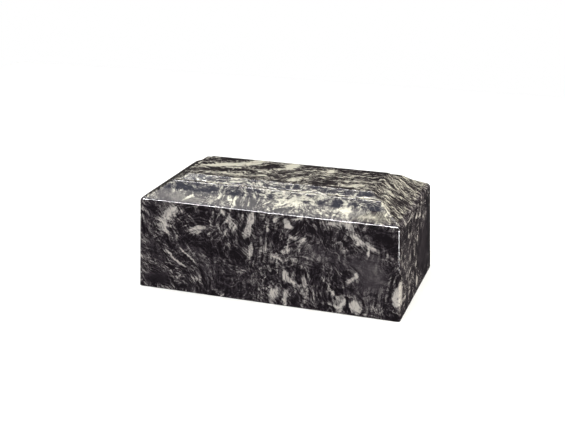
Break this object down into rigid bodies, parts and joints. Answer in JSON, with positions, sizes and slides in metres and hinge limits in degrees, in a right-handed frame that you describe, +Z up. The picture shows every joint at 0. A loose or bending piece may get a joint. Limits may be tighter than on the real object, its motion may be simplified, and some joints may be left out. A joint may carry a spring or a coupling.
{
  "type": "cremation urn",
  "caption": "Box-shaped cremation urn of polished marbled cast stone with a sloped shoulder, a raised top panel and a closing panel below.",
  "frame": {"origin": "centre of the underside, on the surface that the urn stands on", "axes": "+Z up, +X along the long side, the front faces -Y"},
  "size_m": [0.292, 0.157, 0.1205],
  "materials": {
    "marbled_cast_stone": "polished clear gel coat over black, grey and cream veining",
    "dark_cast_stone": "honed"
  },
  "bodies": {
    "root": {"urn_body": "marbled_cast_stone", "base_panel": "dark_cast_stone"}
  },
  "joints": []
}
